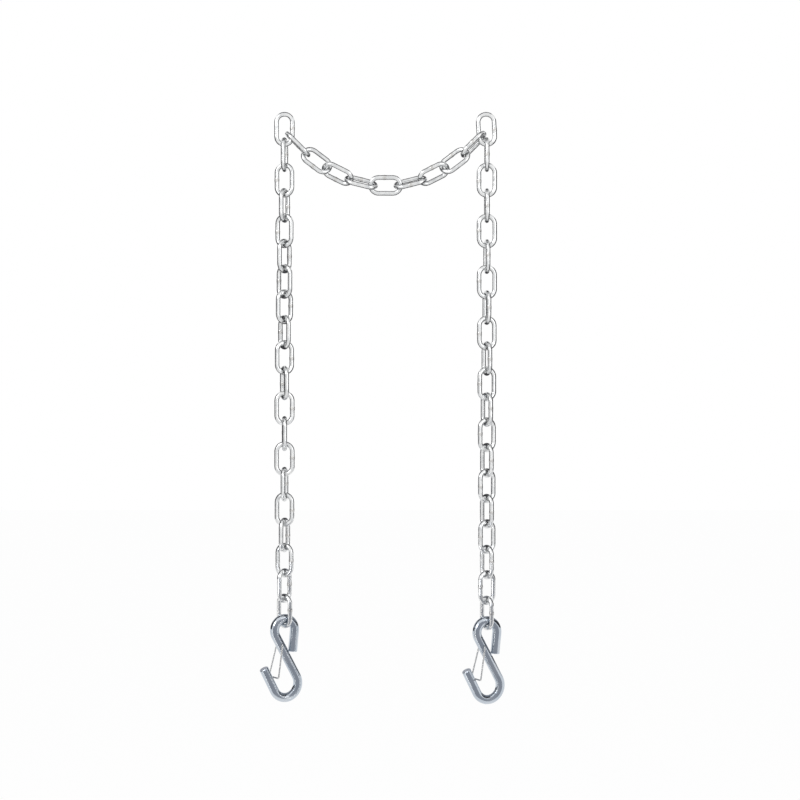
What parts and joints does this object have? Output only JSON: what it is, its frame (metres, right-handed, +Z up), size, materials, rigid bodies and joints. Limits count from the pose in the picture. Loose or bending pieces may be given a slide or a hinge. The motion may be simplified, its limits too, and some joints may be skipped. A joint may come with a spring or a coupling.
{
  "type": "safety chain hook",
  "caption": "Welded long-link trailer safety chain with a latched S-hook at each end, pegged up by two links with a short slack bridge between them.",
  "frame": {"origin": "inside of the left hang link's top crown, where a peg carries it", "axes": "+Z up along the plumb runs, +X along the bridge from the left run to the right run, -Y towards the open side of the hooks' tips"},
  "size_m": [0.3184, 0.0381, 0.7709],
  "materials": {
    "chain_zinc": "bright zinc plated, drawn and tumbled wire",
    "hook_zinc": "bright bluish zinc plate on smooth bent bar",
    "latch_wire": "bright spring wire"
  },
  "bodies": {
    "hang_links": {"left_hang_link": "chain_zinc", "right_hang_link": "chain_zinc"},
    "left_link_01": {"left_chain_link_01": "chain_zinc"},
    "left_link_02": {"left_chain_link_02": "chain_zinc"},
    "left_link_03": {"left_chain_link_03": "chain_zinc"},
    "left_link_04": {"left_chain_link_04": "chain_zinc"},
    "left_link_05": {"left_chain_link_05": "chain_zinc"},
    "left_link_06": {"left_chain_link_06": "chain_zinc"},
    "left_link_07": {"left_chain_link_07": "chain_zinc"},
    "left_link_08": {"left_chain_link_08": "chain_zinc"},
    "left_link_09": {"left_chain_link_09": "chain_zinc"},
    "left_link_10": {"left_chain_link_10": "chain_zinc"},
    "left_link_11": {"left_chain_link_11": "chain_zinc"},
    "left_link_12": {"left_chain_link_12": "chain_zinc"},
    "left_link_13": {"left_chain_link_13": "chain_zinc"},
    "left_link_14": {"left_chain_link_14": "chain_zinc"},
    "left_link_15": {"left_chain_link_15": "chain_zinc"},
    "left_link_16": {"left_chain_link_16": "chain_zinc"},
    "left_link_17": {"left_chain_link_17": "chain_zinc"},
    "left_link_18": {"left_chain_link_18": "chain_zinc"},
    "left_link_19": {"left_chain_link_19": "chain_zinc"},
    "left_hook": {"left_s_hook": "hook_zinc"},
    "left_latch": {"left_latch_wire": "latch_wire"},
    "right_link_01": {"right_chain_link_01": "chain_zinc"},
    "right_link_02": {"right_chain_link_02": "chain_zinc"},
    "right_link_03": {"right_chain_link_03": "chain_zinc"},
    "right_link_04": {"right_chain_link_04": "chain_zinc"},
    "right_link_05": {"right_chain_link_05": "chain_zinc"},
    "right_link_06": {"right_chain_link_06": "chain_zinc"},
    "right_link_07": {"right_chain_link_07": "chain_zinc"},
    "right_link_08": {"right_chain_link_08": "chain_zinc"},
    "right_link_09": {"right_chain_link_09": "chain_zinc"},
    "right_link_10": {"right_chain_link_10": "chain_zinc"},
    "right_link_11": {"right_chain_link_11": "chain_zinc"},
    "right_link_12": {"right_chain_link_12": "chain_zinc"},
    "right_link_13": {"right_chain_link_13": "chain_zinc"},
    "right_link_14": {"right_chain_link_14": "chain_zinc"},
    "right_link_15": {"right_chain_link_15": "chain_zinc"},
    "right_link_16": {"right_chain_link_16": "chain_zinc"},
    "right_link_17": {"right_chain_link_17": "chain_zinc"},
    "right_link_18": {"right_chain_link_18": "chain_zinc"},
    "right_link_19": {"right_chain_link_19": "chain_zinc"},
    "right_hook": {"right_s_hook": "hook_zinc"},
    "right_latch": {"right_latch_wire": "latch_wire"},
    "bridge_link_1": {"bridge_link_1": "chain_zinc"},
    "bridge_link_2": {"bridge_link_2": "chain_zinc"},
    "bridge_link_3": {"bridge_link_3": "chain_zinc"},
    "bridge_link_4": {"bridge_link_4": "chain_zinc"},
    "bridge": {"bridge_link_5": "chain_zinc"},
    "bridge_link_6": {"bridge_link_6": "chain_zinc"},
    "bridge_link_7": {"bridge_link_7": "chain_zinc"},
    "bridge_link_8": {"bridge_link_8": "chain_zinc"},
    "bridge_link_9": {"bridge_link_9": "chain_zinc"}
  },
  "joints": [
    {"name": "left_link_01_swing", "type": "hinge", "parent": "hang_links", "child": "left_link_01", "pos_m": [0, 0, -0.0363], "axis": [0.9925, -0.1219, 0], "range_deg": [-60, 60]},
    {"name": "left_link_02_swing", "type": "hinge", "parent": "left_link_01", "child": "left_link_02", "pos_m": [0, 0, -0.0693], "axis": [0.2419, 0.9703, 0], "range_deg": [-70, 80]},
    {"name": "left_link_03_swing", "type": "hinge", "parent": "left_link_02", "child": "left_link_03", "pos_m": [0, 0, -0.1023], "axis": [-0.9336, 0.3584, 0], "range_deg": [-80, 80]},
    {"name": "left_link_04_swing", "type": "hinge", "parent": "left_link_03", "child": "left_link_04", "pos_m": [0, 0, -0.1353], "axis": [-0.4695, -0.8829, 0], "range_deg": [-80, 80]},
    {"name": "left_link_05_swing", "type": "hinge", "parent": "left_link_04", "child": "left_link_05", "pos_m": [0, 0, -0.1683], "axis": [0.8192, -0.5736, 0], "range_deg": [-80, 80]},
    {"name": "left_link_06_swing", "type": "hinge", "parent": "left_link_05", "child": "left_link_06", "pos_m": [0, 0, -0.2013], "axis": [0.6691, 0.7431, 0], "range_deg": [-80, 80]},
    {"name": "left_link_07_swing", "type": "hinge", "parent": "left_link_06", "child": "left_link_07", "pos_m": [0, 0, -0.2343], "axis": [-0.6561, 0.7547, 0], "range_deg": [-80, 80]},
    {"name": "left_link_08_swing", "type": "hinge", "parent": "left_link_07", "child": "left_link_08", "pos_m": [0, 0, -0.2673], "axis": [-0.829, -0.5592, 0], "range_deg": [-80, 80]},
    {"name": "left_link_09_swing", "type": "hinge", "parent": "left_link_08", "child": "left_link_09", "pos_m": [0, 0, -0.3003], "axis": [0.454, -0.891, 0], "range_deg": [-80, 80]},
    {"name": "left_link_10_swing", "type": "hinge", "parent": "left_link_09", "child": "left_link_10", "pos_m": [0, 0, -0.3333], "axis": [0.9397, 0.342, 0], "range_deg": [-80, 80]},
    {"name": "left_link_11_swing", "type": "hinge", "parent": "left_link_10", "child": "left_link_11", "pos_m": [0, 0, -0.3663], "axis": [-0.225, 0.9744, 0], "range_deg": [-80, 80]},
    {"name": "left_link_12_swing", "type": "hinge", "parent": "left_link_11", "child": "left_link_12", "pos_m": [0, 0, -0.3993], "axis": [-0.9945, -0.1045, 0], "range_deg": [-80, 80]},
    {"name": "left_link_13_swing", "type": "hinge", "parent": "left_link_12", "child": "left_link_13", "pos_m": [0, 0, -0.4323], "axis": [-0.0175, -0.9998, 0], "range_deg": [-80, 40]},
    {"name": "left_link_14_swing", "type": "hinge", "parent": "left_link_13", "child": "left_link_14", "pos_m": [0, 0, -0.4653], "axis": [0.9903, -0.1392, 0], "range_deg": [-80, 80]},
    {"name": "left_link_15_swing", "type": "hinge", "parent": "left_link_14", "child": "left_link_15", "pos_m": [0, 0, -0.4983], "axis": [0.2588, 0.9659, 0], "range_deg": [-80, 80]},
    {"name": "left_link_16_swing", "type": "hinge", "parent": "left_link_15", "child": "left_link_16", "pos_m": [0, 0, -0.5313], "axis": [-0.9272, 0.3746, 0], "range_deg": [-80, 80]},
    {"name": "left_link_17_swing", "type": "hinge", "parent": "left_link_16", "child": "left_link_17", "pos_m": [0, 0, -0.5643], "axis": [-0.4848, -0.8746, 0], "range_deg": [-80, 80]},
    {"name": "left_link_18_swing", "type": "hinge", "parent": "left_link_17", "child": "left_link_18", "pos_m": [0, 0, -0.5973], "axis": [0.809, -0.5878, 0], "range_deg": [-80, 80]},
    {"name": "left_link_19_swing", "type": "hinge", "parent": "left_link_18", "child": "left_link_19", "pos_m": [0, 0, -0.6303], "axis": [0.682, 0.7314, 0], "range_deg": [-80, 80]},
    {"name": "left_hook_swing", "type": "hinge", "parent": "left_link_19", "child": "left_hook", "pos_m": [0, 0, -0.6633], "axis": [0.5299, -0.848, 0], "range_deg": [-80, 80]},
    {"name": "left_latch_turn", "type": "hinge", "parent": "left_hook", "child": "left_latch", "pos_m": [-0.00579, -0.00362, -0.68614], "axis": [0.5299, -0.848, 0], "range_deg": [0, 30], "stiffness_Nm_per_rad": 0.08, "springref_deg": -22.92},
    {"name": "right_link_01_swing", "type": "hinge", "parent": "hang_links", "child": "right_link_01", "pos_m": [0.26346, 0, -0.0363], "axis": [1, 0, 0], "range_deg": [-30, 30]},
    {"name": "right_link_02_swing", "type": "hinge", "parent": "right_link_01", "child": "right_link_02", "pos_m": [0.26346, 0, -0.0693], "axis": [-0.0086, 1, 0], "range_deg": [-80, 16]},
    {"name": "right_link_03_swing", "type": "hinge", "parent": "right_link_02", "child": "right_link_03", "pos_m": [0.26346, 0, -0.10245], "axis": [-0.9995, -0.0329, 0], "range_deg": [-80, 80]},
    {"name": "right_link_04_swing", "type": "hinge", "parent": "right_link_03", "child": "right_link_04", "pos_m": [0.26346, 0, -0.1356], "axis": [0.07, -0.9975, 0], "range_deg": [-18, 80]},
    {"name": "right_link_05_swing", "type": "hinge", "parent": "right_link_04", "child": "right_link_05", "pos_m": [0.26346, 0, -0.16875], "axis": [0.9931, 0.1174, 0], "range_deg": [-80, 80]},
    {"name": "right_link_06_swing", "type": "hinge", "parent": "right_link_05", "child": "right_link_06", "pos_m": [0.26346, 0, -0.2019], "axis": [-0.1721, 0.9851, 0], "range_deg": [-80, 80]},
    {"name": "right_link_07_swing", "type": "hinge", "parent": "right_link_06", "child": "right_link_07", "pos_m": [0.26346, 0, -0.23505], "axis": [-0.9728, -0.2314, 0], "range_deg": [-80, 80]},
    {"name": "right_link_08_swing", "type": "hinge", "parent": "right_link_07", "child": "right_link_08", "pos_m": [0.26346, 0, -0.2682], "axis": [0.2924, -0.9563, 0], "range_deg": [-80, 80]},
    {"name": "right_link_09_swing", "type": "hinge", "parent": "right_link_08", "child": "right_link_09", "pos_m": [0.26346, 0, -0.30135], "axis": [0.9359, 0.3521, 0], "range_deg": [-80, 80]},
    {"name": "right_link_10_swing", "type": "hinge", "parent": "right_link_09", "child": "right_link_10", "pos_m": [0.26346, 0, -0.3345], "axis": [-0.4081, 0.9129, 0], "range_deg": [-80, 80]},
    {"name": "right_link_11_swing", "type": "hinge", "parent": "right_link_10", "child": "right_link_11", "pos_m": [0.26346, 0, -0.36765], "axis": [-0.8889, -0.458, 0], "range_deg": [-80, 80]},
    {"name": "right_link_12_swing", "type": "hinge", "parent": "right_link_11", "child": "right_link_12", "pos_m": [0.26346, 0, -0.4008], "axis": [0.4998, -0.8662, 0], "range_deg": [-80, 80]},
    {"name": "right_link_13_swing", "type": "hinge", "parent": "right_link_12", "child": "right_link_13", "pos_m": [0.26346, 0, -0.43395], "axis": [0.847, 0.5316, 0], "range_deg": [-80, 80]},
    {"name": "right_link_14_swing", "type": "hinge", "parent": "right_link_13", "child": "right_link_14", "pos_m": [0.26346, 0, -0.4671], "axis": [-0.552, 0.8338, 0], "range_deg": [-80, 80]},
    {"name": "right_link_15_swing", "type": "hinge", "parent": "right_link_14", "child": "right_link_15", "pos_m": [0.26346, 0, -0.50025], "axis": [-0.829, -0.5592, 0], "range_deg": [-80, 80]},
    {"name": "right_link_16_swing", "type": "hinge", "parent": "right_link_15", "child": "right_link_16", "pos_m": [0.26346, 0, -0.5334], "axis": [0.5592, -0.829, 0], "range_deg": [-80, 80]},
    {"name": "right_link_17_swing", "type": "hinge", "parent": "right_link_16", "child": "right_link_17", "pos_m": [0.26346, 0, -0.56655], "axis": [0.829, 0.5592, 0], "range_deg": [-80, 80]},
    {"name": "right_link_18_swing", "type": "hinge", "parent": "right_link_17", "child": "right_link_18", "pos_m": [0.26346, 0, -0.5997], "axis": [-0.5592, 0.829, 0], "range_deg": [-80, 80]},
    {"name": "right_link_19_swing", "type": "hinge", "parent": "right_link_18", "child": "right_link_19", "pos_m": [0.26346, 0, -0.63285], "axis": [-0.829, -0.5592, 0], "range_deg": [-80, 80]},
    {"name": "right_hook_swing", "type": "hinge", "parent": "right_link_19", "child": "right_hook", "pos_m": [0.26346, 0, -0.666], "axis": [0.4305, -0.9026, 0], "range_deg": [-80, 80]},
    {"name": "right_latch_turn", "type": "hinge", "parent": "right_hook", "child": "right_latch", "pos_m": [0.2573, -0.00294, -0.68883], "axis": [0.4305, -0.9026, 0], "range_deg": [0, 30], "stiffness_Nm_per_rad": 0.08, "springref_deg": -22.92},
    {"name": "bridge_swing", "type": "hinge", "parent": "hang_links", "child": "bridge", "pos_m": [0.0059, 0, -0.0247], "axis": [1, 0, 0], "range_deg": [-15, 15]},
    {"name": "bridge_link_1_twist", "type": "hinge", "parent": "bridge", "child": "bridge_link_1", "pos_m": [0.01739, 0, -0.03619], "axis": [0.7071, 0, -0.7071], "range_deg": [-8, 8]},
    {"name": "bridge_link_2_twist", "type": "hinge", "parent": "bridge", "child": "bridge_link_2", "pos_m": [0.04188, 0, -0.05743], "axis": [0.8, 0, -0.6], "range_deg": [-8, 8]},
    {"name": "bridge_link_3_twist", "type": "hinge", "parent": "bridge", "child": "bridge_link_3", "pos_m": [0.06942, 0, -0.07445], "axis": [0.8944, 0, -0.4472], "range_deg": [-8, 8]},
    {"name": "bridge_link_4_twist", "type": "hinge", "parent": "bridge", "child": "bridge_link_4", "pos_m": [0.09971, 0, -0.08566], "axis": [0.9701, 0, -0.2425], "range_deg": [-8, 8]},
    {"name": "bridge_link_6_twist", "type": "hinge", "parent": "bridge", "child": "bridge_link_6", "pos_m": [0.16374, 0, -0.08566], "axis": [0.9701, 0, 0.2425], "range_deg": [-8, 8]},
    {"name": "bridge_link_7_twist", "type": "hinge", "parent": "bridge", "child": "bridge_link_7", "pos_m": [0.19404, 0, -0.07445], "axis": [0.8944, 0, 0.4472], "range_deg": [-8, 8]},
    {"name": "bridge_link_8_twist", "type": "hinge", "parent": "bridge", "child": "bridge_link_8", "pos_m": [0.22158, 0, -0.05743], "axis": [0.8, 0, 0.6], "range_deg": [-8, 8]},
    {"name": "bridge_link_9_twist", "type": "hinge", "parent": "bridge", "child": "bridge_link_9", "pos_m": [0.24607, 0, -0.03619], "axis": [0.7071, 0, 0.7071], "range_deg": [-3, 8]}
  ]
}
